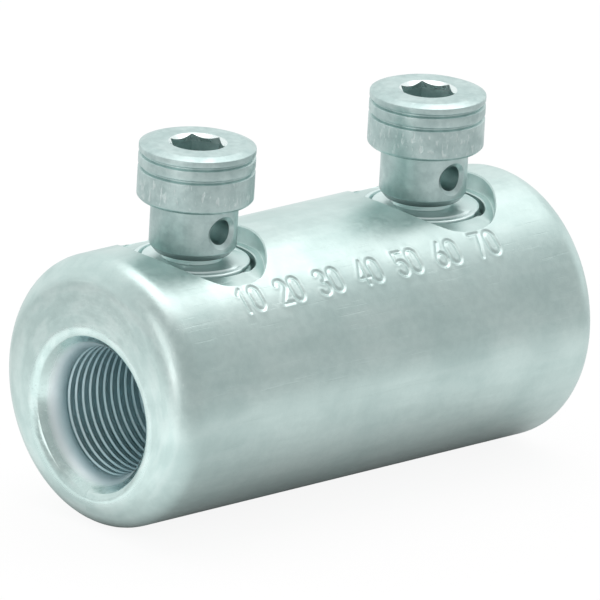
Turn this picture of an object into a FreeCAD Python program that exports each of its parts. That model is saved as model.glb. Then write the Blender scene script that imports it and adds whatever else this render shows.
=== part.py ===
import FreeCAD, Part
import math
import os

# Metal through connector for two cable conductors. A turned round sleeve has a conductor
# bore in each end. Two shear-head screws in the sleeve's thick side clamp the conductors.
# Frame: +X along the sleeve, +Z along the screws, z = 0 on the sleeve's lowest line and
# x = 0 at its middle. Every length is in millimetres.

# Sleeve, a turned bar
SLEEVE_RADIUS = 14.0
SLEEVE_LENGTH = 57.2
END_ROUND_LENGTH = 2.8
END_ROUND_DEPTH = 3.0
END_ROUND_RADIUS = 3.1

# Conductor bores, one from each end, eccentric so that the screw side has the thick wall
BORE_DROP = 2.2
BORE_RADIUS = 6.6
BORE_ENTRY_RADIUS = 7.15
BORE_ENTRY_LENGTH = 2.9
BORE_LIP_RADIUS = 8.15
BORE_LIP_LENGTH = 0.5
BORE_FLARE_RADIUS = 8.9
BORE_FLARE_LENGTH = 0.4
PARTITION = 3.0

# Screw seats, flat-floored pockets round the screw holes
SCREW_INSET = 12.85
SEAT_RADIUS = 7.45
SEAT_DEPTH = 1.85
RELIEF_RADIUS = 6.35
RELIEF_DEPTH = 1.1
RELIEF_CHAMFER = 0.15
THREAD_CLEARANCE = 0.08

# Shear-head screw, turned in one piece, from its stud upwards
STUD_RADIUS = 6.0
STUD_RISE = 0.1
STUD_CHAMFER = 0.35
STUD_TIP_GAP = 0.2
STUD_TIP_CHAMFER = 0.9
NECK_RADIUS = 3.0
NECK_LENGTH = 0.85
SHANK_RADIUS = 4.43
SHANK_LENGTH = 5.3
SHANK_CHAMFER = 0.75
HEAD_RADIUS = 5.91
HEAD_HEIGHT = 5.9
HEAD_TOP_SLOPE_WIDTH = 0.9
HEAD_TOP_SLOPE_DROP = 0.32
HEAD_CORNER_CHAMFER = 0.3
HEAD_GROOVE_DROPS = (1.12, 2.52)
HEAD_GROOVE_WIDTH = 0.2
HEAD_GROOVE_DEPTH = 0.2
SOCKET_ACROSS_FLATS = 5.0
SOCKET_DEPTH = 5.0
SOCKET_RIM_RADIUS = 2.95
SOCKET_RIM_DEPTH = 0.4
SOCKET_DRILL_ANGLE = 118.0
CROSS_HOLE_RADIUS = 1.575
CROSS_HOLE_DROP = 2.55

# Heights and places that follow from the sizes above
SLEEVE_AXIS_Z = SLEEVE_RADIUS
CROWN_Z = 2.0 * SLEEVE_RADIUS
BORE_AXIS_Z = SLEEVE_AXIS_Z - BORE_DROP
BORE_DEPTH = (SLEEVE_LENGTH - PARTITION) / 2.0
SEAT_FLOOR_Z = CROWN_Z - SEAT_DEPTH
STUD_TIP_Z = BORE_AXIS_Z + BORE_RADIUS + STUD_TIP_GAP
STUD_TOP_Z = SEAT_FLOOR_Z + STUD_RISE
SHANK_BASE_Z = STUD_TOP_Z + NECK_LENGTH
HEAD_BASE_Z = SHANK_BASE_Z + SHANK_LENGTH
HEAD_TOP_Z = HEAD_BASE_Z + HEAD_HEIGHT
CROSS_HOLE_Z = HEAD_BASE_Z - CROSS_HOLE_DROP
SCREW_X = {"a": SCREW_INSET - SLEEVE_LENGTH / 2.0, "b": SLEEVE_LENGTH / 2.0 - SCREW_INSET}

UP = FreeCAD.Vector(0, 0, 1)
ALONG = FreeCAD.Vector(1, 0, 0)
ACROSS = FreeCAD.Vector(0, 1, 0)


def at(x, z):
    return FreeCAD.Vector(x, 0, z)


def arc_edge(start, end, radius):
    """Arc from start to end that bulges to the left of the way from start to end."""
    chord = end - start
    middle = (start + end) * 0.5
    left = FreeCAD.Vector(-chord.z, 0, chord.x).normalize()
    half = chord.Length / 2.0
    bulge = radius - math.sqrt(radius ** 2 - half ** 2)
    return Part.Arc(start, middle + left * bulge, end).toShape()


def outline(points):
    """Closed run of straight edges through points in the XZ plane."""
    edges = []
    for start, end in zip(points, points[1:] + points[:1]):
        edges.append(Part.LineSegment(start, end).toShape())
    return edges


def turned(edges, axis_point, axis):
    face = Part.Face(Part.Wire(edges))
    return face.revolve(axis_point, axis, 360)


def sleeve_blank():
    """The turned bar: flat end faces, rounded ends that meet the side at a faint crease."""
    face_radius = SLEEVE_RADIUS - END_ROUND_DEPTH
    half = SLEEVE_LENGTH / 2.0
    straight = half - END_ROUND_LENGTH
    left_axis = at(-half, SLEEVE_AXIS_Z)
    left_face = at(-half, SLEEVE_AXIS_Z + face_radius)
    left_side = at(-straight, CROWN_Z)
    right_side = at(straight, CROWN_Z)
    right_face = at(half, SLEEVE_AXIS_Z + face_radius)
    right_axis = at(half, SLEEVE_AXIS_Z)
    edges = [
        Part.LineSegment(left_axis, left_face).toShape(),
        arc_edge(left_face, left_side, END_ROUND_RADIUS),
        Part.LineSegment(left_side, right_side).toShape(),
        arc_edge(right_side, right_face, END_ROUND_RADIUS),
        Part.LineSegment(right_face, right_axis).toShape(),
        Part.LineSegment(right_axis, left_axis).toShape(),
    ]
    return turned(edges, left_axis, ALONG)


def bore_tool(end):
    """Cutter for one conductor bore; end is -1 or 1, the side of its mouth."""
    margin = 1.0
    lip_end = BORE_FLARE_LENGTH + BORE_LIP_LENGTH
    steps = [
        (-margin, 0.0),
        (-margin, BORE_FLARE_RADIUS),
        (0.0, BORE_FLARE_RADIUS),
        (BORE_FLARE_LENGTH, BORE_LIP_RADIUS),
        (lip_end, BORE_ENTRY_RADIUS),
        (BORE_ENTRY_LENGTH, BORE_ENTRY_RADIUS),
        (BORE_ENTRY_LENGTH, BORE_RADIUS),
        (BORE_DEPTH, BORE_RADIUS),
        (BORE_DEPTH, 0.0),
    ]
    points = []
    for depth, radius in steps:
        points.append(at(end * (SLEEVE_LENGTH / 2.0 - depth), BORE_AXIS_Z + radius))
    return turned(outline(points), at(0, BORE_AXIS_Z), ALONG)


def screw_hole_tool(x):
    """Cutter for one screw seat: pocket, thread relief with its chamfer, and hole."""
    hole_radius = STUD_RADIUS + THREAD_CLEARANCE
    points = [
        at(x, BORE_AXIS_Z),
        at(x + hole_radius, BORE_AXIS_Z),
        at(x + hole_radius, SEAT_FLOOR_Z - RELIEF_DEPTH),
        at(x + RELIEF_RADIUS, SEAT_FLOOR_Z - RELIEF_DEPTH),
        at(x + RELIEF_RADIUS, SEAT_FLOOR_Z - RELIEF_CHAMFER),
        at(x + RELIEF_RADIUS + RELIEF_CHAMFER, SEAT_FLOOR_Z),
        at(x + SEAT_RADIUS, SEAT_FLOOR_Z),
        at(x + SEAT_RADIUS, CROWN_Z + SEAT_DEPTH),
        at(x, CROWN_Z + SEAT_DEPTH),
    ]
    return turned(outline(points), at(x, 0), UP)


def make_sleeve():
    sleeve = sleeve_blank()
    for end in (-1, 1):
        sleeve = sleeve.cut(bore_tool(end))
    for x in SCREW_X.values():
        sleeve = sleeve.cut(screw_hole_tool(x))
    return sleeve


def screw_blank(x):
    """The turned screw: stud, shear neck, shank and round head."""
    points = [
        at(x, STUD_TIP_Z),
        at(x + STUD_RADIUS - STUD_TIP_CHAMFER, STUD_TIP_Z),
        at(x + STUD_RADIUS, STUD_TIP_Z + STUD_TIP_CHAMFER),
        at(x + STUD_RADIUS, STUD_TOP_Z - STUD_CHAMFER),
        at(x + STUD_RADIUS - STUD_CHAMFER, STUD_TOP_Z),
        at(x + NECK_RADIUS, STUD_TOP_Z),
        at(x + NECK_RADIUS, SHANK_BASE_Z),
        at(x + SHANK_RADIUS - SHANK_CHAMFER, SHANK_BASE_Z),
        at(x + SHANK_RADIUS, SHANK_BASE_Z + SHANK_CHAMFER),
        at(x + SHANK_RADIUS, HEAD_BASE_Z),
        at(x + HEAD_RADIUS - HEAD_CORNER_CHAMFER, HEAD_BASE_Z),
        at(x + HEAD_RADIUS, HEAD_BASE_Z + HEAD_CORNER_CHAMFER),
    ]
    groove_floor = HEAD_RADIUS - HEAD_GROOVE_DEPTH
    for drop in sorted(HEAD_GROOVE_DROPS, reverse=True):
        middle = HEAD_TOP_Z - drop
        points.append(at(x + HEAD_RADIUS, middle - HEAD_GROOVE_WIDTH / 2.0))
        points.append(at(x + groove_floor, middle))
        points.append(at(x + HEAD_RADIUS, middle + HEAD_GROOVE_WIDTH / 2.0))
    points.append(at(x + HEAD_RADIUS, HEAD_TOP_Z - HEAD_TOP_SLOPE_DROP))
    points.append(at(x + HEAD_RADIUS - HEAD_TOP_SLOPE_WIDTH, HEAD_TOP_Z))
    points.append(at(x, HEAD_TOP_Z))
    return turned(outline(points), at(x, 0), UP)


def socket_tool(x):
    """Cutter for the hexagon socket: countersunk rim, six flats and a drill point."""
    corner_radius = SOCKET_ACROSS_FLATS / math.sqrt(3.0)
    floor_z = HEAD_TOP_Z - SOCKET_DEPTH
    corners = []
    for step in range(6):
        turn = math.radians(60.0 * step)
        corners.append(
            FreeCAD.Vector(x + corner_radius * math.cos(turn), corner_radius * math.sin(turn), floor_z)
        )
    wire = Part.makePolygon(corners + corners[:1])
    flats = Part.Face(wire).extrude(UP * (SOCKET_DEPTH + HEAD_HEIGHT))
    rim_slope = SOCKET_RIM_RADIUS / (SOCKET_RIM_RADIUS - SOCKET_ACROSS_FLATS / 2.0) * SOCKET_RIM_DEPTH
    rim = turned(
        outline([at(x, HEAD_TOP_Z - rim_slope), at(x + SOCKET_RIM_RADIUS, HEAD_TOP_Z), at(x, HEAD_TOP_Z)]),
        at(x, 0),
        UP,
    )
    drill_radius = SOCKET_ACROSS_FLATS / 2.0
    drill_length = drill_radius / math.tan(math.radians(SOCKET_DRILL_ANGLE / 2.0))
    point = turned(
        outline([at(x, floor_z - drill_length), at(x + drill_radius, floor_z), at(x, floor_z)]),
        at(x, 0),
        UP,
    )
    return flats.fuse(rim).fuse(point)


def make_screw(x):
    screw = screw_blank(x)
    screw = screw.cut(socket_tool(x))
    start = FreeCAD.Vector(x, -HEAD_RADIUS, CROSS_HOLE_Z)
    cross_hole = Part.makeCylinder(CROSS_HOLE_RADIUS, 2.0 * HEAD_RADIUS, start, ACROSS)
    return screw.cut(cross_hole)


def write_part(name, shape):
    solid = shape.removeSplitter()
    solid.exportStep(os.path.join("parts", name + ".step"))
    print(name, "valid", solid.isValid(), "solids", len(solid.Solids), "volume", round(solid.Volume, 2))


os.makedirs("parts", exist_ok=True)
write_part("sleeve", make_sleeve())
for letter, screw_x in SCREW_X.items():
    write_part("shear_screw_" + letter, make_screw(screw_x))
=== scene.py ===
import bmesh
import bpy
import math
import numpy as np
from mathutils import Matrix, Vector


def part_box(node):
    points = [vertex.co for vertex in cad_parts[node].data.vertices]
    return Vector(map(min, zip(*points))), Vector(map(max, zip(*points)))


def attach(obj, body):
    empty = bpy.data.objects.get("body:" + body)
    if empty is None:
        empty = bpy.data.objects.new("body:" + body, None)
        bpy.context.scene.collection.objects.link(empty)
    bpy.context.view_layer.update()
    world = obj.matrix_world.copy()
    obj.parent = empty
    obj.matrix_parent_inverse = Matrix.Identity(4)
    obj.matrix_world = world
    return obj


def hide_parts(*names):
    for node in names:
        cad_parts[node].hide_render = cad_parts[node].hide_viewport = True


# Looks of a metal screw connector. Lengths are in millimetres until a mesh is written.
# Frame: +X along the sleeve, +Z along the screws, z = 0 on the sleeve's lowest line.

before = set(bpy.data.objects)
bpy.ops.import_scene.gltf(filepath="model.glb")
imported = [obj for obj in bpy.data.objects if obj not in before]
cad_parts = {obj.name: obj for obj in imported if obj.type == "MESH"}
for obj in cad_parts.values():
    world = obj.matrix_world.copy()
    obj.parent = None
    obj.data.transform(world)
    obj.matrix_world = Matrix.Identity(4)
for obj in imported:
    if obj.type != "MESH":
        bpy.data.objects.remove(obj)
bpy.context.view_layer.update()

MM = 0.001
X_AXIS = np.array([1.0, 0.0, 0.0])
Y_AXIS = np.array([0.0, 1.0, 0.0])
Z_AXIS = np.array([0.0, 0.0, 1.0])

# Sizes read from the frame
sleeve_low, sleeve_high = (np.array(corner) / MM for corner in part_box("sleeve"))
SLEEVE_LENGTH = sleeve_high[0] - sleeve_low[0]
SLEEVE_RADIUS = (sleeve_high[1] - sleeve_low[1]) / 2.0
SLEEVE_AXIS_Z = sleeve_low[2] + SLEEVE_RADIUS
SCREW_NODES = {"a": "shear_screw_a", "b": "shear_screw_b"}
screw_boxes = {
    key: [np.array(corner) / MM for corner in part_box(node)]
    for key, node in SCREW_NODES.items()
}
SCREW_X = {key: (low[0] + high[0]) / 2.0 for key, (low, high) in screw_boxes.items()}
STUD_TIP_Z = screw_boxes["a"][0][2]
HEAD_TOP_Z = screw_boxes["a"][1][2]

# Sleeve
HALF_LENGTH = SLEEVE_LENGTH / 2.0
END_ROUND_LENGTH = 2.8
END_ROUND_DEPTH = 3.0
BORE_DROP = 2.2
BORE_AXIS_Z = SLEEVE_AXIS_Z - BORE_DROP
BORE_RADIUS = 6.6
BORE_ENTRY_RADIUS = 7.3
BORE_ENTRY_LENGTH = 2.4
BORE_END_CHAMFER = 0.3
MOUTH_CONE_LENGTH = 0.75
LIP_RADIUS = 9.1
LIP_EDGE_RADIUS = 8.05
LIP_LENGTH = 0.32
LIP_TURN = 40.0
PARTITION = 3.0
BORE_DEPTH = HALF_LENGTH - PARTITION / 2.0
GROOVE_PITCH = 0.95
GROOVE_ROOT_RADIUS = 6.72
GROOVE_CREST_SHARE = 0.46
GROOVE_ROOT_SHARE = 0.14
GROOVE_END_GAP = 0.6

# Screw seats
SEAT_DEPTH = 1.85
SEAT_FLOOR_Z = SLEEVE_AXIS_Z + SLEEVE_RADIUS - SEAT_DEPTH
SEAT_RADIUS = 7.2
SEAT_SIDE_RADIUS = 8.15
SEAT_SIDE_POWER = 5
SEAT_SIDE_START = 0.3
SEAT_SIDE_DROP = 0.7
SEAT_RIM_DROP = 0.22
SEAT_RIM_CHAMFER = 0.14
SEAT_FILLET = 0.12
SEAT_FILLET_MIDDLE = 0.035
SEAT_LEAST_WALL = 0.13
HOLE_RADIUS = 6.08
HOLE_RIM_CHAMFER = 0.1

# Run-out, where the first turn of the hole's thread opens into the seat: angles in degrees
RUNOUT_WIDTH = 0.34
RUNOUT_DEPTH = 1.2
RUNOUT_RAMP_SHARE = 0.6
RUNOUT_START = {"a": -77.0, "b": -71.0}
RUNOUT_RISE = 7.0
RUNOUT_SPAN = 150.0
RUNOUT_HOLD_SHARE = 0.55

# Screw stud and its thread
STUD_RADIUS = 6.0
STUD_RISE = 0.1
STUD_TOP_Z = SEAT_FLOOR_Z + STUD_RISE
STUD_FINE_REACH = 1.4
STUD_PLAIN_REACH = (0.9, 0.35)
STUD_EDGE = 0.16
STUD_RUNOUT_WIDTH = 0.16
STUD_TIP_CHAMFER = 0.9
THREAD_PITCH = 1.25
THREAD_DEPTH = 0.5
THREAD_CREST_SHARE = 0.22
THREAD_FLANK_SHARE = 0.56
THREAD_START = {"a": 0.30, "b": 0.62}

# Groove in the stud's top face: the turn that leads it, and where it deepens and fades
STUD_BAND_RADIUS = 5.28
STUD_BAND_DROP = 0.1
STUD_GROOVE_DEPTH = 0.5
STUD_GROOVE_LEAD = 16.0
STUD_GROOVE_RISE = (0.0, 45.0)
STUD_GROOVE_FALL = (250.0, 330.0)

# Screw neck, shank and head
NECK_RADIUS = 3.0
NECK_LENGTH = 0.7
SHANK_RADIUS = 4.43
SHANK_CHAMFER = 0.6
SHANK_CHAMFER_HEIGHT = 0.75
SHANK_BASE_Z = STUD_TOP_Z + NECK_LENGTH
HEAD_RADIUS = 5.91
HEAD_HEIGHT = 5.9
HEAD_BASE_Z = HEAD_TOP_Z - HEAD_HEIGHT
HEAD_TOP_SLOPE_WIDTH = 0.9
HEAD_TOP_SLOPE_DROP = 0.32
HEAD_CORNER_CHAMFER = 0.3
HEAD_GROOVE_DROPS = (2.52, 1.12)
HEAD_GROOVE_WIDTH = 0.42
HEAD_GROOVE_FLOOR_SHARE = 0.4
HEAD_GROOVE_DEPTH = 0.36
EDGE_ROUND = 0.1

# Hexagon socket and cross hole
SOCKET_ACROSS_FLATS = 5.0
SOCKET_DEPTH = 5.0
SOCKET_RIM_RADIUS = 2.94
SOCKET_RIM_ANGLE = 40.0
SOCKET_CONE_TIP_RADIUS = 1.2
SOCKET_POINT_DEPTH = 1.35
CROSS_HOLE_RADIUS = 1.3
CROSS_HOLE_DROP = 2.55
CROSS_HOLE_Z = HEAD_BASE_Z - CROSS_HOLE_DROP
CROSS_HOLE_CHAMFER = 0.42

# Stamped row of plain numbers on the sleeve's front
STAMP_TEXT = "10 20 30 40 50 60 70"
STAMP_ANGLE = 42.0
STAMP_X = -0.3
STAMP_LENGTH = 35.0
STAMP_HEIGHT = 2.7
STAMP_DEPTH = 0.10
STAMP_STROKE = 0.15
STAMP_BLUR = 0.22
STAMP_LIP = 0.02
STAMP_LIP_BLUR_SHARE = 0.8
STAMP_MARGIN = 0.5
STAMP_STEP = 0.1

# Mesh fineness
SLEEVE_SIDES = 118
BORE_SIDES = 112
SEAT_SIDES = 180
SCREW_SIDES = 120
SOCKET_SIDES = 96
CROSS_HOLE_SIDES = 72
SHARP_DEGREES = 24.0
CUTTER_REACH = 1.5

# Colours and gloss
SLEEVE_DULL = (0.46, 0.59, 0.57)
SLEEVE_DARK = (0.54, 0.695, 0.675)
SLEEVE_LIGHT = (0.655, 0.81, 0.785)
SLEEVE_BRIGHT = (0.80, 0.92, 0.90)
SLEEVE_ROUGHNESS = 0.36
SLEEVE_CLOUD_SIZE = 9.0
SLEEVE_SPECK_SHARE = 0.25
SLEEVE_GRAIN_HEIGHT = 0.002
# Painted light at the bore mouths, fading out over the entry, and the bluish bore colour further in
ENTRY_PAINTED_LIGHT = (0.84, 0.93, 0.95)
BORE_COLOR = (0.66, 0.82, 0.85)
BORE_TINT_RADII = (7.0, 7.6)
ENTRY_LIGHT_BLUR = (-0.6, 1.2)
BORE_DULLNESS = 0.1
LIP_BLUR = (-0.2, 0.3)
LIP_POLISH = 0.16
SCREW_DARK = (0.46, 0.60, 0.59)
SCREW_LIGHT = (0.61, 0.755, 0.74)
SCREW_ROUGHNESS = 0.42
SCREW_CLOUD_SIZE = 2.4
SCREW_SPECK_SHARE = 0.4
SCREW_GRAIN_HEIGHT = 0.004
# Painted light on the stud's top edge and the neck, paler than the screw's own colour
NECK_PAINTED_LIGHT = (0.74, 0.89, 0.875)
# Painted shade on the shank's lower chamfer
SHOULDER_PAINTED_SHADE = (0.30, 0.38, 0.375)
# Colour of the grip marks, and of the painted highlight on the socket rim
MARK_AND_RIM_HIGHLIGHT_COLOR = (0.85, 0.95, 0.94)
RIM_POLISH = 0.16
RIM_BLUR = 0.05

# Unevenness of both metals
SPECK_SIZE = 0.7
GRAIN_SIZE = 0.16
WAVE_SIZE = 6.0
WAVE_HEIGHT = 0.035
DENT_SIZE = 0.9
DENT_HEIGHT = 0.012
CLOUD_GLOSS = 0.05
SPECK_GLOSS = 0.03

# Tool marks: lines along the sleeve, rings on its faced ends, and grip marks on the heads
DRAWN_LINE_SIZE = 0.22
DRAWN_LINE_STRETCH = (30.0, 1.0, 1.0)
DRAWN_LINE_DEPTH = 0.006
STREAK_SIZE = 1.9
STREAK_STRETCH = (6.0, 1.0, 1.0)
STREAK_SHINE = (-0.12, 0.12)
FACED_REACH = (0.9, 0.2)
ARC_SIZE = 1.3
ARC_SPAN = 3.0
ARC_HEIGHT = 0.05
ARC_SHINE = (-0.22, 0.28)
GRIP_SIZE = 0.45
GRIP_STRETCH = (1.0, 1.0, 2.6)
GRIP_SHARE = 0.5
GRIP_DEPTH = 0.03

# Camera, at the photograph's angle
CAMERA_AZIMUTH = 0.761
CAMERA_ELEVATION = 0.318
CAMERA_ROLL = 0.056
CAMERA_DISTANCE = 2000.0
CAMERA_RIGHT = -0.342
CAMERA_UP = 4.456
CAMERA_CLIP = 10000.0
IMAGE_PIXELS = 600.0
PIXELS_PER_MM = 9.913
SENSOR_WIDTH = 36.0

# Room and floor: levels of what the metal reflects, where 1 is white
FRONT_LEVEL = 0.56
BACK_LEVEL = 0.96
BACK_DIRECTION = (0.45, 0.9, 0.0)
BACK_EDGE = (-0.25, 0.25)
BACK_REACH = (10.0, 160.0)
POOL_CENTER = (12.0, 0.0, 0.0)
POOL_REACH = 130.0
POOL_NEAR = 1.06
POOL_FAR = 0.56
CARD_CENTER = (-62.0, 1.0, 0.0)
CARD_REACH = (8.0, 60.0)
CARD_LEVEL = 0.68
SEEN_GLOW = 1.03
SEEN_GLOW_SHARE = 0.88
GLOSSY_GLOW_SHARE = 0.85
SHADE_REACH = 40.0
SHADE_POWER = 1.15
SHADE_SAMPLES = 8
FLOOR_REACH = 1500.0
FLOOR_COLOR = (0.85, 0.85, 0.85, 1.0)
FLOOR_ROUGHNESS = 0.9
WHITE = (1.0, 1.0, 1.0, 1.0)

# Soft boxes
SOFTBOX_PLACE = (120.0, 20.0, 420.0)
SOFTBOX_SIZE = (470.0, 350.0)
SOFTBOX_LEVEL = 1.2
SOFTBOX_COLOR = (1.0, 0.91, 0.91)
SIDE_PLACE = (-330.0, -80.0, 120.0)
SIDE_SIZE = (170.0, 230.0)
SIDE_LEVEL = 1.3
SIDE_TURN = -14.0


# Mesh helpers

def new_object(name, mesh):
    piece = bpy.data.objects.new(name, mesh)
    bpy.context.scene.collection.objects.link(piece)
    return piece


def ring_piece(name, rings):
    """Closed mesh through rows of equal rings, with a fan over the first and the last ring."""
    rows, columns = rings.shape[:2]
    points = rings.reshape(-1, 3)
    ends = np.array([rings[0].mean(axis=0), rings[-1].mean(axis=0)])
    row = np.arange(rows - 1)[:, None] * columns
    column = np.arange(columns)[None, :]
    following = (column + 1) % columns
    above = row + columns
    corners = [row + column, row + following, above + following, above + column]
    faces = np.stack(corners, axis=2).reshape(-1, 4).tolist()
    last_row = (rows - 1) * columns
    for here in range(columns):
        after = (here + 1) % columns
        faces.append((len(points), after, here))
        faces.append((len(points) + 1, last_row + here, last_row + after))
    mesh = bpy.data.meshes.new(name)
    mesh.from_pydata((np.vstack([points, ends]) * MM).tolist(), [], faces)
    work = bmesh.new()
    work.from_mesh(mesh)
    bmesh.ops.recalc_face_normals(work, faces=work.faces)
    work.to_mesh(mesh)
    work.free()
    return new_object(name, mesh)


def even_angles(count):
    return np.linspace(0.0, 2.0 * math.pi, count, endpoint=False)


def spokes(angles, first, second):
    """Unit vectors at the given angles from first towards second."""
    return np.cos(angles)[:, None] * first + np.sin(angles)[:, None] * second


def rings_about(origin, axis, side, profile, angles):
    """Rings of a turned form: profile rows are (along, radius), angles go from side about axis."""
    turn = spokes(angles, side, np.cross(axis, side))
    profile = np.asarray(profile, float)
    along = profile[:, 0][:, None, None]
    radius = profile[:, 1][:, None, None]
    return origin + along * axis + radius * turn[None]


def upright_ring(origin, turn, radius, height):
    """Ring about +Z: radius and height are one number, or one for each spoke in turn."""
    radius = np.broadcast_to(radius, len(turn))
    height = np.broadcast_to(height, len(turn))
    return origin + radius[:, None] * turn + height[:, None] * Z_AXIS


def screw_foot(key):
    """The point of a screw's axis that is level with the sleeve's lowest line."""
    return np.array([SCREW_X[key], 0.0, 0.0])


def smoothstep(value, low, high):
    share = np.clip((value - low) / (high - low), 0.0, 1.0)
    return share * share * (3.0 - 2.0 * share)


def softened(points, radius, steps=3):
    """The open outline through points with each inner corner rounded by about radius."""
    points = [np.asarray(point, float) for point in points]
    result = [points[0]]
    for before, corner, after in zip(points, points[1:], points[2:]):
        back = before - corner
        ahead = after - corner
        reach = min(radius, 0.45 * np.linalg.norm(back), 0.45 * np.linalg.norm(ahead))
        start = corner + back / np.linalg.norm(back) * reach
        end = corner + ahead / np.linalg.norm(ahead) * reach
        for share in np.linspace(0.0, 1.0, steps + 1):
            rest = 1 - share
            result.append(rest ** 2 * start + 2 * share * rest * corner + share ** 2 * end)
    result.append(points[-1])
    return result


def cut(piece, cutters):
    """Takes the closed cutters out of the closed piece."""
    for cutter in cutters:
        modifier = piece.modifiers.new("cut", "BOOLEAN")
        modifier.operation = "DIFFERENCE"
        modifier.solver = "MANIFOLD"
        modifier.object = cutter
    depsgraph = bpy.context.evaluated_depsgraph_get()
    result = bpy.data.meshes.new_from_object(piece.evaluated_get(depsgraph))
    piece.modifiers.clear()
    piece.data = result
    for cutter in cutters:
        bpy.data.objects.remove(cutter)


def smooth(piece):
    for polygon in piece.data.polygons:
        polygon.use_smooth = True
    piece.data.set_sharp_from_angle(angle=math.radians(SHARP_DEGREES))


# Stamped numbers

def bow(center_x, center_y, reach_x, reach_y, start, end, steps=14):
    """Part of an ellipse from start to end, in degrees."""
    turn = np.radians(np.linspace(start, end, steps))
    return np.stack([center_x + reach_x * np.cos(turn), center_y + reach_y * np.sin(turn)], axis=1)


def joined(*parts):
    return np.vstack([np.asarray(part, float).reshape(-1, 2) for part in parts])


# Each figure is a set of strokes in a box FIGURE_WIDTH wide and 1 high
FIGURE_WIDTH = 0.56
FIGURE_GAP = 0.2
FIGURES = {
    "0": [joined(bow(0.28, 0.72, 0.26, 0.28, 0, 180),
                 bow(0.28, 0.28, 0.26, 0.28, 180, 360), (0.54, 0.72))],
    "1": [joined((0.12, 0.78), (0.34, 1.0), (0.34, 0.0))],
    "2": [joined(bow(0.28, 0.73, 0.26, 0.27, 165, -35), (0.02, 0.0), (0.55, 0.0))],
    "3": [joined(bow(0.26, 0.75, 0.25, 0.25, 150, -85), bow(0.26, 0.25, 0.28, 0.26, 85, -150))],
    "4": [joined((0.44, 0.0), (0.44, 1.0), (0.02, 0.27), (0.56, 0.27))],
    "5": [joined((0.50, 1.0), (0.09, 1.0), (0.06, 0.55),
                 bow(0.27, 0.31, 0.27, 0.31, 120, -150))],
    "6": [joined((0.42, 1.0), bow(0.28, 0.28, 0.26, 0.28, 150, 180),
                 bow(0.28, 0.28, 0.26, 0.28, 180, 510))],
    "7": [joined((0.02, 1.0), (0.54, 1.0), (0.20, 0.0))],
}


def stamp_segments():
    """Start and end points of every stroke piece: x along the sleeve, y up towards the crown."""
    advance = STAMP_LENGTH / (len(STAMP_TEXT) - 1 + FIGURE_WIDTH)
    width_scale = min(advance / (FIGURE_WIDTH + FIGURE_GAP), STAMP_HEIGHT)
    starts = []
    ends = []
    for place, figure in enumerate(STAMP_TEXT):
        left = STAMP_X + place * advance - STAMP_LENGTH / 2.0
        for stroke in FIGURES.get(figure, []):
            points = stroke * np.array([width_scale, STAMP_HEIGHT])
            points += np.array([left, -STAMP_HEIGHT / 2.0])
            starts.append(points[:-1])
            ends.append(points[1:])
    return np.vstack(starts), np.vstack(ends)


def stamp_relief(x, y):
    """Height of the stamped surface over the plain one at points x, y of the unrolled sleeve."""
    starts, ends = stamp_segments()
    nearest = np.full(x.shape, 1e9)
    for start, end in zip(starts, ends):
        way = end - start
        share = ((x - start[0]) * way[0] + (y - start[1]) * way[1]) / max(way @ way, 1e-9)
        share = np.clip(share, 0.0, 1.0)
        gap = np.hypot(x - start[0] - share * way[0], y - start[1] - share * way[1])
        nearest = np.minimum(nearest, gap)
    groove = smoothstep((STAMP_STROKE + STAMP_BLUR / 2.0 - nearest) / STAMP_BLUR, 0.0, 1.0)
    beyond = nearest - STAMP_STROKE - STAMP_BLUR
    lip = np.exp(-(beyond / (STAMP_LIP_BLUR_SHARE * STAMP_BLUR)) ** 2)
    return STAMP_LIP * lip - STAMP_DEPTH * groove


# Sleeve

def sleeve_stations():
    """Profile of the turned bar, (along, radius), from one end face's middle to the other's."""
    face_radius = SLEEVE_RADIUS - END_ROUND_DEPTH
    near = [(-HALF_LENGTH, 4.0), (-HALF_LENGTH, 8.0)]
    for turn in np.linspace(0.0, math.pi / 2.0, 13):
        near.append((-HALF_LENGTH + END_ROUND_LENGTH * (1.0 - np.cos(turn)),
                     face_radius + END_ROUND_DEPTH * np.sin(turn)))
    stamped = STAMP_LENGTH / 2.0 + STAMP_MARGIN + STAMP_STEP
    shoulder = HALF_LENGTH - END_ROUND_LENGTH
    sides = np.concatenate([
        np.linspace(-shoulder, -stamped, 7)[1:-1],
        np.arange(-stamped, stamped + STAMP_STEP / 2.0, STAMP_STEP),
        np.linspace(stamped, shoulder, 7)[1:-1],
    ])
    middle = [(along, SLEEVE_RADIUS) for along in sides]
    far = [(-along, radius) for along, radius in reversed(near)]
    return np.array(near + middle + far)


def sleeve_angles():
    """Angles about the axis from the crown to the front, close together under the stamp."""
    stamp = math.radians(STAMP_ANGLE)
    reach = (STAMP_HEIGHT / 2.0 + STAMP_MARGIN) / SLEEVE_RADIUS
    fine = np.arange(-reach, reach, STAMP_STEP / SLEEVE_RADIUS)
    plain = np.linspace(reach, 2.0 * math.pi - reach, SLEEVE_SIDES, endpoint=False)
    return stamp + np.concatenate([fine, plain])


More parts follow.
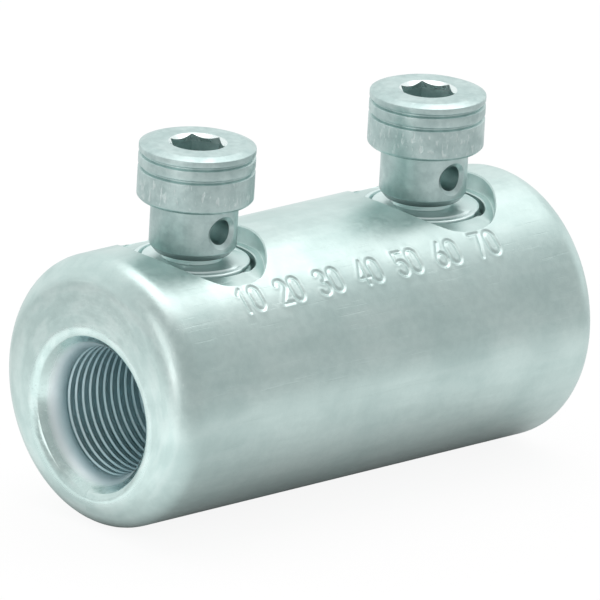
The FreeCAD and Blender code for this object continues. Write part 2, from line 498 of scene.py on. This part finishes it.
def bore_outline():
    """Bore from its mouth inwards, (along, radius): lip, cone, smooth entry, ring grooves."""
    turn = np.radians(np.linspace(0.0, LIP_TURN, 11))
    lip_reach = (LIP_RADIUS - LIP_EDGE_RADIUS) / math.sin(turn[-1])
    lip_drop = LIP_LENGTH / (1.0 - math.cos(turn[-1]))
    outline = [(-0.5, LIP_RADIUS + 0.02)]
    for angle in turn:
        outline.append((lip_drop * (1.0 - math.cos(angle)),
                        LIP_RADIUS - lip_reach * math.sin(angle)))
    outline.append((LIP_LENGTH + 0.06, LIP_EDGE_RADIUS - 0.04))
    outline.append((LIP_LENGTH + MOUTH_CONE_LENGTH, BORE_ENTRY_RADIUS))
    outline.append((BORE_ENTRY_LENGTH, BORE_RADIUS + 0.06))
    slope = (1.0 - GROOVE_CREST_SHARE - GROOVE_ROOT_SHARE) / 2.0
    grooves = int((BORE_DEPTH - BORE_ENTRY_LENGTH - GROOVE_END_GAP) / GROOVE_PITCH)
    for groove in range(grooves):
        start = BORE_ENTRY_LENGTH + groove * GROOVE_PITCH
        outline.append((start + GROOVE_PITCH * GROOVE_CREST_SHARE, BORE_RADIUS))
        outline.append((start + GROOVE_PITCH * (GROOVE_CREST_SHARE + slope), GROOVE_ROOT_RADIUS))
        outline.append((start + GROOVE_PITCH * (1.0 - slope), GROOVE_ROOT_RADIUS))
        outline.append((start + GROOVE_PITCH, BORE_RADIUS))
    outline.append((BORE_DEPTH - BORE_END_CHAMFER, BORE_RADIUS))
    outline.append((BORE_DEPTH, BORE_RADIUS - BORE_END_CHAMFER))
    return outline


def bore_cutter(name, end):
    """Conductor bore from the end at -1 or 1."""
    origin = np.array([end * SLEEVE_LENGTH / 2.0, 0.0, BORE_AXIS_Z])
    rings = rings_about(origin, -end * X_AXIS, Z_AXIS, bore_outline(), even_angles(BORE_SIDES))
    return ring_piece(name, rings)


def runout(key, angles):
    """Share, by angle, of the gap where the first turn of the hole's thread opens into the seat."""
    turned = np.degrees(angles) - RUNOUT_START[key]
    turned = (turned + 180.0) % 360.0 - 180.0
    fade = smoothstep(turned, RUNOUT_HOLD_SHARE * RUNOUT_SPAN, RUNOUT_SPAN)
    return smoothstep(turned, 0.0, RUNOUT_RISE) * (1.0 - fade)


def seat_cutter(key):
    """Screw seat and hole from the crown down into the bore, lower at the sleeve's sides."""
    angles = even_angles(SEAT_SIDES)
    turn = spokes(angles, X_AXIS, Y_AXIS)
    sideways = np.abs(np.sin(angles))
    reach = SEAT_RADIUS + (SEAT_SIDE_RADIUS - SEAT_RADIUS) * sideways ** SEAT_SIDE_POWER
    side = smoothstep(sideways, SEAT_SIDE_START, 1.0)
    floor = SEAT_FLOOR_Z - SEAT_SIDE_DROP * side
    inner = SEAT_FLOOR_Z - SEAT_RIM_DROP * side
    rim = HOLE_RADIUS + RUNOUT_WIDTH * runout(key, angles)
    lowest = SEAT_FLOOR_Z - SEAT_SIDE_DROP
    wide = reach + SEAT_RIM_CHAMFER

    def ring(radius, height):
        return upright_ring(screw_foot(key), turn, radius, height)

    def crown(across):
        return SLEEVE_AXIS_Z + np.sqrt(SLEEVE_RADIUS ** 2 - (across * np.sin(angles)) ** 2)

    rows = [
        ring(HOLE_RADIUS, BORE_AXIS_Z),
        ring(HOLE_RADIUS, lowest - RUNOUT_DEPTH),
        ring(rim, lowest - RUNOUT_DEPTH * RUNOUT_RAMP_SHARE),
        ring(rim, inner - HOLE_RIM_CHAMFER),
        ring(rim + HOLE_RIM_CHAMFER, inner),
        ring(reach - SEAT_FILLET, floor),
        ring(reach - SEAT_FILLET_MIDDLE, floor + SEAT_FILLET_MIDDLE),
        ring(reach, floor + SEAT_FILLET),
        ring(reach, np.maximum(crown(reach) - SEAT_RIM_CHAMFER, floor + SEAT_LEAST_WALL)),
        ring(wide, np.maximum(crown(wide), floor + (SEAT_LEAST_WALL + SEAT_RIM_CHAMFER))),
        ring(wide + CUTTER_REACH, crown(wide) + CUTTER_REACH),
    ]
    return ring_piece("seat_cutter_" + key, np.array(rows))


def make_sleeve():
    stations = sleeve_stations()
    angles = sleeve_angles()
    origin = np.array([0.0, 0.0, SLEEVE_AXIS_Z])
    along, about = np.meshgrid(stations[:, 0], angles, indexing="ij")
    radius = np.repeat(stations[:, 1][:, None], len(angles), axis=1)
    around = (about - math.radians(STAMP_ANGLE) + math.pi) % (2.0 * math.pi) - math.pi
    upward = -around * SLEEVE_RADIUS
    margin = STAMP_MARGIN - STAMP_STEP / 2.0
    stamped = radius > SLEEVE_RADIUS - 1e-6
    stamped &= np.abs(upward) < STAMP_HEIGHT / 2.0 + margin
    stamped &= np.abs(along) < STAMP_LENGTH / 2.0 + STAMP_MARGIN
    radius[stamped] += stamp_relief(along[stamped], upward[stamped])
    direction = -np.sin(about)[..., None] * Y_AXIS + np.cos(about)[..., None] * Z_AXIS
    rings = origin + along[..., None] * X_AXIS + radius[..., None] * direction
    sleeve = ring_piece("sleeve_body_metal", rings)
    cutters = [bore_cutter("bore_cutter_a", -1), bore_cutter("bore_cutter_b", 1)]
    cutters += [seat_cutter("a"), seat_cutter("b")]
    cut(sleeve, cutters)
    smooth(sleeve)
    return sleeve


# Screws

def thread_radius(key, height, about):
    """Radius of the stud's thread, a rounded trapezoid wave along a right-hand helix."""
    phase = (height - STUD_TOP_Z) / THREAD_PITCH + THREAD_START[key] - about / (2.0 * math.pi)
    wave = np.abs((phase % 1.0) * 2.0 - 1.0)
    flank = np.clip((wave - THREAD_CREST_SHARE) / THREAD_FLANK_SHARE, 0.0, 1.0)
    return STUD_RADIUS - THREAD_DEPTH * flank * flank * (3.0 - 2.0 * flank)


def stud_side(key, angles, turn):
    """Threaded side of the stud, plain just below its top."""
    fine_from = STUD_TOP_Z - STUD_FINE_REACH
    heights = np.concatenate([
        np.linspace(STUD_TIP_Z, fine_from, 64),
        np.linspace(fine_from, STUD_TOP_Z - STUD_EDGE - STUD_BAND_DROP, 24)[1:],
    ])
    height, about = np.meshgrid(heights, angles, indexing="ij")
    tip = STUD_RADIUS - STUD_TIP_CHAMFER + (height - STUD_TIP_Z)
    radius = np.minimum(tip, thread_radius(key, height, about))
    plain_from, plain_to = (STUD_TOP_Z - reach for reach in STUD_PLAIN_REACH)
    near_top = smoothstep(height, plain_from, plain_to)
    opening = runout(key, angles)
    radius += near_top * (STUD_RADIUS - STUD_RUNOUT_WIDTH * opening[None] - radius)
    return screw_foot(key) + height[..., None] * Z_AXIS + radius[..., None] * turn[None]


def stud_rings(key, angles):
    """Stud whose thread's last groove comes out on its top face as a thin arc."""
    turn = spokes(angles, X_AXIS, Y_AXIS)
    turned = (RUNOUT_START[key] + STUD_GROOVE_LEAD - np.degrees(angles)) % 360.0
    rise = smoothstep(turned, *STUD_GROOVE_RISE)
    depth = STUD_GROOVE_DEPTH * rise * (1.0 - smoothstep(turned, *STUD_GROOVE_FALL))
    edge = STUD_RADIUS - STUD_RUNOUT_WIDTH * runout(key, angles)
    drop = STUD_BAND_DROP * depth / STUD_GROOVE_DEPTH
    top_face = [
        (edge - 0.03, STUD_TOP_Z - drop - 0.08),
        (edge - STUD_EDGE, STUD_TOP_Z - drop),
        (STUD_BAND_RADIUS + 0.16, STUD_TOP_Z - 0.5 * drop),
        (STUD_BAND_RADIUS + 0.1, STUD_TOP_Z - 0.6 * depth),
        (STUD_BAND_RADIUS - 0.02, STUD_TOP_Z - depth),
        (STUD_BAND_RADIUS - 0.26, STUD_TOP_Z),
    ]
    rows = [upright_ring(screw_foot(key), turn, radius, level) for radius, level in top_face]
    return np.concatenate([stud_side(key, angles, turn), np.array(rows)])


def upper_profile():
    """Outline of neck, shank and head from the stud's top face to the head's top."""
    points = [
        (STUD_TOP_Z, NECK_RADIUS + 0.6),
        (STUD_TOP_Z, NECK_RADIUS),
        (SHANK_BASE_Z, NECK_RADIUS),
        (SHANK_BASE_Z, SHANK_RADIUS - SHANK_CHAMFER),
        (SHANK_BASE_Z + SHANK_CHAMFER_HEIGHT, SHANK_RADIUS),
        (HEAD_BASE_Z, SHANK_RADIUS),
        (HEAD_BASE_Z, HEAD_RADIUS - HEAD_CORNER_CHAMFER),
        (HEAD_BASE_Z + HEAD_CORNER_CHAMFER, HEAD_RADIUS),
    ]
    half = HEAD_GROOVE_WIDTH / 2.0
    floor = half * HEAD_GROOVE_FLOOR_SHARE
    for drop in HEAD_GROOVE_DROPS:
        middle = HEAD_TOP_Z - drop
        points.append((middle - half, HEAD_RADIUS))
        points.append((middle - floor, HEAD_RADIUS - HEAD_GROOVE_DEPTH))
        points.append((middle + floor, HEAD_RADIUS - HEAD_GROOVE_DEPTH))
        points.append((middle + half, HEAD_RADIUS))
    points.append((HEAD_TOP_Z - HEAD_TOP_SLOPE_DROP, HEAD_RADIUS))
    points.append((HEAD_TOP_Z, HEAD_RADIUS - HEAD_TOP_SLOPE_WIDTH))
    points.append((HEAD_TOP_Z, SOCKET_RIM_RADIUS + 0.3))
    return softened(points, EDGE_ROUND)


def socket_cutters(key):
    """Hexagon socket: flats with corners along the sleeve, countersunk rim and drill point."""
    corner = SOCKET_ACROSS_FLATS / math.sqrt(3.0)
    floor = HEAD_TOP_Z - SOCKET_DEPTH
    flats = [(floor, corner), (HEAD_TOP_Z + 1.0, corner)]
    slope = math.tan(math.radians(SOCKET_RIM_ANGLE))
    above = 0.5
    cone_depth = (SOCKET_RIM_RADIUS - SOCKET_CONE_TIP_RADIUS) * slope
    rim = [(HEAD_TOP_Z - cone_depth, SOCKET_CONE_TIP_RADIUS),
           (HEAD_TOP_Z, SOCKET_RIM_RADIUS),
           (HEAD_TOP_Z + above, SOCKET_RIM_RADIUS + above / slope)]
    point = [(floor - SOCKET_POINT_DEPTH, 0.1), (floor + 0.1, SOCKET_ACROSS_FLATS / 2.0 - 0.02)]
    cutters = []
    for name, profile, sides in (("socket_flats_", flats, 6), ("socket_rim_", rim, SOCKET_SIDES),
                                 ("socket_point_", point, SOCKET_SIDES)):
        rings = rings_about(screw_foot(key), Z_AXIS, X_AXIS, profile, even_angles(sides))
        cutters.append(ring_piece(name + key, rings))
    return cutters


def cross_hole_cutter(key):
    """Hole across the shank with a broken edge on both sides."""
    origin = np.array([SCREW_X[key], 0.0, CROSS_HOLE_Z])
    angles = even_angles(CROSS_HOLE_SIDES)
    turn = spokes(angles, X_AXIS, Z_AXIS)

    def skin(reach):
        return np.sqrt(SHANK_RADIUS ** 2 - (reach * np.cos(angles)) ** 2)

    def ring(reach, height):
        return origin + reach * turn + height[:, None] * Y_AXIS

    narrow = CROSS_HOLE_RADIUS
    wide = CROSS_HOLE_RADIUS + CROSS_HOLE_CHAMFER
    outside = 0.6
    rows = [
        ring(wide + outside, -skin(wide) - outside),
        ring(wide, -skin(wide)),
        ring(narrow, -skin(narrow) + CROSS_HOLE_CHAMFER),
        ring(narrow, skin(narrow) - CROSS_HOLE_CHAMFER),
        ring(wide, skin(wide)),
        ring(wide + outside, skin(wide) + outside),
    ]
    return ring_piece("cross_hole_" + key, np.array(rows))


def make_screw(key):
    angles = even_angles(SCREW_SIDES)
    upper = rings_about(screw_foot(key), Z_AXIS, X_AXIS, upper_profile(), angles)
    rings = np.concatenate([stud_rings(key, angles), upper])
    screw = ring_piece("shear_screw_metal_" + key, rings)
    cut(screw, socket_cutters(key) + [cross_hole_cutter(key)])
    smooth(screw)
    return screw


# Node helpers

def add_node(tree, kind, settings=(), inputs=(), links=()):
    """Adds a node, sets its own values and its inputs by name, and links other outputs to it."""
    node = tree.nodes.new(kind)
    for name, value in dict(settings).items():
        setattr(node, name, value)
    for name, value in dict(inputs).items():
        node.inputs[name].default_value = value
    for name, output in dict(links).items():
        tree.links.new(output, node.inputs[name])
    return node


def noise(tree, coordinates, feature, detail, roughness=0.5, stretch=(1.0, 1.0, 1.0)):
    """Noise whose features measure about feature millimetres, longer where stretch is above 1."""
    scale = [1.0 / (feature * MM * amount) for amount in stretch]
    mapping = add_node(tree, "ShaderNodeMapping", inputs={"Scale": scale},
                       links={"Vector": coordinates})
    return add_node(tree, "ShaderNodeTexNoise",
                    inputs={"Scale": 1.0, "Detail": detail, "Roughness": roughness},
                    links={"Vector": mapping.outputs["Vector"]}).outputs["Fac"]


def spread(tree, value, source, target):
    """Maps value smoothly from the source range to the target range, held at its ends."""
    node = add_node(tree, "ShaderNodeMapRange",
                    settings={"interpolation_type": "SMOOTHSTEP"},
                    inputs={"From Min": source[0], "From Max": source[1],
                            "To Min": target[0], "To Max": target[1]},
                    links={"Value": value})
    return node.outputs["Result"]


def combine(tree, operation, first, second=0.0):
    """Result of a math node; each side is a number or another node's output."""
    node = add_node(tree, "ShaderNodeMath", settings={"operation": operation})
    for slot, value in enumerate((first, second)):
        if isinstance(value, (int, float)):
            node.inputs[slot].default_value = value
        else:
            tree.links.new(value, node.inputs[slot])
    return node.outputs["Value"]


def add(tree, first, second):
    return combine(tree, "ADD", first, second)


def subtract(tree, first, second):
    return combine(tree, "SUBTRACT", first, second)


def multiply(tree, first, second):
    return combine(tree, "MULTIPLY", first, second)


def hypotenuse(tree, first, second):
    square = add(tree, multiply(tree, first, first), multiply(tree, second, second))
    return combine(tree, "SQRT", square)


def measure(tree, operation, place, other):
    """DISTANCE or DOT_PRODUCT between the output place and the fixed vector other."""
    node = add_node(tree, "ShaderNodeVectorMath", settings={"operation": operation},
                    links={0: place})
    node.inputs[1].default_value = other
    return node.outputs["Value"]


def mix_colors(tree, share, first, second):
    """Colour between first and second; each is three numbers or another node's output."""
    node = add_node(tree, "ShaderNodeMix", settings={"data_type": "RGBA"},
                    links={"Factor": share})
    for slot, color in ((6, first), (7, second)):
        if isinstance(color, tuple):
            node.inputs[slot].default_value = (*color, 1.0)
        else:
            tree.links.new(color, node.inputs[slot])
    return node.outputs[2]


def separate(tree, place):
    return add_node(tree, "ShaderNodeSeparateXYZ", links={"Vector": place}).outputs


def distance_from_axis(tree, axes, axis_z):
    """Distance from a line along the sleeve at height axis_z."""
    return hypotenuse(tree, subtract(tree, axes["Z"], axis_z * MM), axes["Y"])


def light_paths(tree):
    """Light Path's outputs, and the share that is seen directly or through glass."""
    path = add_node(tree, "ShaderNodeLightPath").outputs
    return path, combine(tree, "MAXIMUM", path["Is Camera Ray"], path["Is Transmission Ray"])


# Metals

def metal(name, dark, light, roughness, cloud_size, speck_share, grain_height):
    """Tin plated metal: clouded colour, uneven gloss, soft waviness, fine grain and small marks.

    Gives the material, its object coordinates, and its colour, roughness and height. The
    caller adds to the last three and links them to the shader with finish_metal.
    """
    material = bpy.data.materials.new(name)
    material.use_nodes = True
    tree = material.node_tree
    tree.nodes["Principled BSDF"].inputs["Metallic"].default_value = 1.0
    place = add_node(tree, "ShaderNodeTexCoord").outputs["Object"]
    clouds = noise(tree, place, cloud_size, 3.0, 0.55)
    specks = noise(tree, place, SPECK_SIZE, 3.0, 0.6)
    tone = add(tree, spread(tree, clouds, (0.34, 0.66), (0.0, 1.0 - speck_share)),
               spread(tree, specks, (0.38, 0.62), (0.0, speck_share)))
    color = mix_colors(tree, tone, dark, light)
    cloud_gloss = (roughness + CLOUD_GLOSS, roughness - CLOUD_GLOSS)
    gloss = add(tree, spread(tree, clouds, (0.3, 0.7), cloud_gloss),
                spread(tree, specks, (0.35, 0.65), (-SPECK_GLOSS, SPECK_GLOSS)))
    waves = multiply(tree, noise(tree, place, WAVE_SIZE, 2.0), WAVE_HEIGHT * MM)
    dents = multiply(tree, noise(tree, place, DENT_SIZE, 3.0, 0.6), DENT_HEIGHT * MM)
    grain = multiply(tree, noise(tree, place, GRAIN_SIZE, 2.0, 0.6), grain_height * MM)
    height = add(tree, add(tree, waves, dents), grain)
    return material, place, color, gloss, height


def finish_metal(material, color, gloss, height):
    tree = material.node_tree
    shader = tree.nodes["Principled BSDF"]
    bump = add_node(tree, "ShaderNodeBump", inputs={"Strength": 1.0, "Distance": 1.0},
                    links={"Height": height})
    tree.links.new(color, shader.inputs["Base Color"])
    tree.links.new(gloss, shader.inputs["Roughness"])
    tree.links.new(bump.outputs["Normal"], shader.inputs["Normal"])
    return material


def facing_arcs(tree, axes):
    """Noise drawn out round the sleeve's axis, as a facing tool leaves it."""
    lift = subtract(tree, axes["Z"], SLEEVE_AXIS_Z * MM)
    turned = multiply(tree, combine(tree, "ARCTAN2", axes["Y"], lift), ARC_SPAN * MM)
    from_center = distance_from_axis(tree, axes, SLEEVE_AXIS_Z)
    polar = add_node(tree, "ShaderNodeCombineXYZ", links={"X": from_center, "Y": turned})
    return noise(tree, polar.outputs["Vector"], ARC_SIZE, 2.0)


def sleeve_metal():
    """Plated sleeve with faint drawn lines, faced rings on its ends and dull, bluish bores,
    with painted light near their mouths.
    """
    material, place, color, gloss, height = metal(
        "sleeve_metal", SLEEVE_DARK, SLEEVE_LIGHT, SLEEVE_ROUGHNESS, SLEEVE_CLOUD_SIZE,
        SLEEVE_SPECK_SHARE, SLEEVE_GRAIN_HEIGHT)
    tree = material.node_tree
    axes = separate(tree, place)
    from_bore = distance_from_axis(tree, axes, BORE_AXIS_Z)
    from_middle = combine(tree, "ABSOLUTE", axes["X"])

    faces = [(HALF_LENGTH - reach) * MM for reach in FACED_REACH]
    faced = spread(tree, from_middle, faces, (0.0, 1.0))
    arcs = facing_arcs(tree, axes)
    scratches = noise(tree, place, DRAWN_LINE_SIZE, 2.0, stretch=DRAWN_LINE_STRETCH)
    drawn = spread(tree, scratches, (0.62, 0.72), (0.0, -DRAWN_LINE_DEPTH * MM))
    rings = multiply(tree, multiply(tree, arcs, faced), ARC_HEIGHT * MM)
    height = add(tree, height, add(tree, drawn, rings))

    shine = multiply(tree, spread(tree, arcs, (0.35, 0.65), ARC_SHINE), faced)
    streaks = noise(tree, place, STREAK_SIZE, 2.0, stretch=STREAK_STRETCH)
    streaks = spread(tree, streaks, (0.35, 0.65), STREAK_SHINE)
    shine = add(tree, shine, multiply(tree, streaks, subtract(tree, 1.0, faced)))
    bright = combine(tree, "MAXIMUM", shine, 0.0)
    dull = combine(tree, "MAXIMUM", multiply(tree, shine, -1.0), 0.0)
    color = mix_colors(tree, bright, color, SLEEVE_BRIGHT)
    color = mix_colors(tree, dull, color, SLEEVE_DULL)

    bore = spread(tree, from_bore, [radius * MM for radius in BORE_TINT_RADII], (1.0, 0.0))
    # Bluish bores, with painted light near their mouths
    entry = (HALF_LENGTH - BORE_ENTRY_LENGTH) * MM
    blurred = [entry + blur * MM for blur in ENTRY_LIGHT_BLUR]
    past_entry_light = spread(tree, from_middle, blurred, (1.0, 0.0))
    color = mix_colors(tree, bore, color, mix_colors(tree, past_entry_light, ENTRY_PAINTED_LIGHT, BORE_COLOR))
    gloss = add(tree, gloss, multiply(tree, bore, BORE_DULLNESS))
    lip_edge = [(LIP_RADIUS + blur) * MM for blur in LIP_BLUR]
    lip = spread(tree, from_bore, lip_edge, (1.0, 0.0))
    lip = multiply(tree, lip, subtract(tree, 1.0, bore))
    gloss = subtract(tree, gloss, multiply(tree, lip, LIP_POLISH))
    return finish_metal(material, color, gloss, height)


def screw_metal():
    """Duller screws: painted light on the neck, painted shade on the shoulder, upright grip marks
    round the lower head, and a polished socket rim with a painted highlight."""
    material, place, color, gloss, height = metal(
        "screw_metal", SCREW_DARK, SCREW_LIGHT, SCREW_ROUGHNESS, SCREW_CLOUD_SIZE,
        SCREW_SPECK_SHARE, SCREW_GRAIN_HEIGHT)
    tree = material.node_tree
    axes = separate(tree, place)

    def band(low, high, blur):
        """1 between two heights and 0 outside them."""
        rise = spread(tree, axes["Z"], (low * MM, (low + blur) * MM), (0.0, 1.0))
        fall = spread(tree, axes["Z"], ((high - blur) * MM, high * MM), (1.0, 0.0))
        return multiply(tree, rise, fall)

    shoulder_from = SHANK_BASE_Z - 0.05
    # Painted light: the stud's top edge and the neck are coloured paler than the screw
    neck_light = band(STUD_TOP_Z - 0.25, shoulder_from, 0.06)
    # Painted shade: the shank's lower chamfer is coloured dark
    shoulder = band(shoulder_from, SHANK_BASE_Z + SHANK_CHAMFER_HEIGHT, 0.06)
    color = mix_colors(tree, neck_light, color, NECK_PAINTED_LIGHT)
    color = mix_colors(tree, shoulder, color, SHOULDER_PAINTED_SHADE)

    gripped = band(HEAD_BASE_Z + 0.3, HEAD_TOP_Z - max(HEAD_GROOVE_DROPS) - 0.1, 0.4)
    marks = noise(tree, place, GRIP_SIZE, 2.0, 0.6, GRIP_STRETCH)
    marks = multiply(tree, spread(tree, marks, (0.54, 0.68), (0.0, 1.0)), gripped)
    color = mix_colors(tree, multiply(tree, marks, GRIP_SHARE), color, MARK_AND_RIM_HIGHLIGHT_COLOR)
    height = add(tree, height, multiply(tree, marks, -GRIP_DEPTH * MM))

    from_middle = combine(tree, "ABSOLUTE", axes["X"])
    sideways = subtract(tree, from_middle, abs(SCREW_X["a"]) * MM)
    reach = hypotenuse(tree, sideways, axes["Y"])
    # Painted highlight: the socket's countersunk rim is coloured pale all round, besides its real
    # polish
    rim_edge = ((SOCKET_RIM_RADIUS + RIM_BLUR) * MM, (SOCKET_RIM_RADIUS - RIM_BLUR) * MM)
    rim = multiply(tree, spread(tree, reach, rim_edge, (0.0, 1.0)),
                   band(HEAD_TOP_Z - 0.8, HEAD_TOP_Z + 1.0, 0.1))
    color = mix_colors(tree, rim, color, MARK_AND_RIM_HIGHLIGHT_COLOR)
    gloss = subtract(tree, gloss, multiply(tree, rim, RIM_POLISH))
    return finish_metal(material, color, gloss, height)


# Stage, light and camera

def floor_white():
    """White to the camera; what the metal reflects of it has a bright pool, a card and shade."""
    material = bpy.data.materials.new("floor_white")
    material.use_nodes = True
    tree = material.node_tree
    shader = tree.nodes["Principled BSDF"]
    shader.inputs["Base Color"].default_value = FLOOR_COLOR
    shader.inputs["Roughness"].default_value = FLOOR_ROUGHNESS
    place = add_node(tree, "ShaderNodeTexCoord").outputs["Object"]
    offset = measure(tree, "DISTANCE", place, Vector(POOL_CENTER) * MM)
    pool = spread(tree, offset, (0.0, POOL_REACH * MM), (POOL_NEAR, POOL_FAR))
    along = measure(tree, "DOT_PRODUCT", place, BACK_DIRECTION)
    back = spread(tree, along, [reach * MM for reach in BACK_REACH], (0.0, BACK_LEVEL - POOL_FAR))
    beside = measure(tree, "DISTANCE", place, Vector(CARD_CENTER) * MM)
    card = spread(tree, beside, [reach * MM for reach in CARD_REACH], (CARD_LEVEL, 0.0))
    open_sky = add_node(tree, "ShaderNodeAmbientOcclusion", settings={"samples": SHADE_SAMPLES},
                        inputs={"Distance": SHADE_REACH * MM}).outputs["AO"]
    shade = combine(tree, "POWER", open_sky, SHADE_POWER)
    reflected = multiply(tree, add(tree, add(tree, pool, back), card), shade)

    path, seen = light_paths(tree)
    strength = add_node(tree, "ShaderNodeMix", links={"Factor": seen, "A": reflected},
                        inputs={"B": SEEN_GLOW})
    glow = add_node(tree, "ShaderNodeEmission", links={"Strength": strength.outputs["Result"]})
    direct = multiply(tree, seen, SEEN_GLOW_SHARE)
    glossy = multiply(tree, path["Is Glossy Ray"], GLOSSY_GLOW_SHARE)
    share = combine(tree, "MAXIMUM", direct, glossy)
    mix = add_node(tree, "ShaderNodeMixShader",
                   links={0: share, 1: shader.outputs[0], 2: glow.outputs[0]})
    tree.links.new(mix.outputs[0], tree.nodes["Material Output"].inputs["Surface"])
    return material


def make_floor():
    size = FLOOR_REACH * MM
    corners = [(-size, -size, 0), (size, -size, 0), (size, size, 0), (-size, size, 0)]
    mesh = bpy.data.meshes.new("floor")
    mesh.from_pydata(corners, [], [(0, 1, 2, 3)])
    mesh.materials.append(floor_white())
    floor = new_object("floor", mesh)


def area_light(name, place, size, radiance, color):
    """Soft box that shines straight down, until it is turned, with its sides along X and Y."""
    light = bpy.data.lights.new(name, "AREA")
    light.shape = "RECTANGLE"
    light.size = size[0] * MM
    light.size_y = size[1] * MM
    light.energy = radiance * math.pi * light.size * light.size_y
    light.color = color
    lamp = new_object(name, light)
    lamp.location = Vector(place) * MM
    return lamp


def make_light():
    """A grey room, lighter behind the object, with a soft box above it and one at its near end."""
    world = bpy.data.worlds.new("studio")
    bpy.context.scene.world = world
    world.use_nodes = True
    tree = world.node_tree
    background = tree.nodes["Background"]
    place = add_node(tree, "ShaderNodeTexCoord").outputs["Generated"]
    along = measure(tree, "DOT_PRODUCT", place, BACK_DIRECTION)
    level = spread(tree, along, BACK_EDGE, (FRONT_LEVEL, BACK_LEVEL))
    _, seen = light_paths(tree)
    strength = add_node(tree, "ShaderNodeMix", links={"Factor": seen, "A": level},
                        inputs={"B": 1.0})
    tree.links.new(strength.outputs["Result"], background.inputs["Strength"])
    background.inputs["Color"].default_value = WHITE
    area_light("overhead", SOFTBOX_PLACE, SOFTBOX_SIZE, SOFTBOX_LEVEL, SOFTBOX_COLOR)
    side = area_light("side", SIDE_PLACE, SIDE_SIZE, SIDE_LEVEL, SOFTBOX_COLOR)
    side.rotation_euler = (math.radians(90.0), 0.0, math.radians(-90.0 + SIDE_TURN))


def make_camera():
    azimuth, elevation, roll = CAMERA_AZIMUTH, CAMERA_ELEVATION, CAMERA_ROLL
    look = Vector((math.sin(azimuth) * math.cos(elevation),
                   math.cos(azimuth) * math.cos(elevation), -math.sin(elevation)))
    level = Vector((math.cos(azimuth), -math.sin(azimuth), 0.0))
    upright = level.cross(look)
    right = math.cos(roll) * level + math.sin(roll) * upright
    up = -math.sin(roll) * level + math.cos(roll) * upright
    place = level * CAMERA_RIGHT + upright * CAMERA_UP - look * CAMERA_DISTANCE
    place.z += SLEEVE_AXIS_Z
    data = bpy.data.cameras.new("camera")
    data.sensor_width = SENSOR_WIDTH
    data.lens = SENSOR_WIDTH * PIXELS_PER_MM * CAMERA_DISTANCE / IMAGE_PIXELS
    data.clip_end = CAMERA_CLIP * MM
    camera = new_object("camera", data)
    axes = Matrix((right, up, -look)).transposed()
    camera.matrix_world = Matrix.Translation(place * MM) @ axes.to_4x4()
    bpy.context.scene.camera = camera


sleeve = make_sleeve()
sleeve.data.materials.clear()
sleeve.data.materials.append(sleeve_metal())
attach(sleeve, "sleeve_body")
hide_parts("sleeve")
screw_material = screw_metal()
for key, node in SCREW_NODES.items():
    screw = make_screw(key)
    screw.data.materials.clear()
    screw.data.materials.append(screw_material)
    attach(screw, "screw_" + key)
    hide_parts(node)

make_floor()
make_light()
make_camera()
bpy.context.scene.view_settings.view_transform = "Standard"
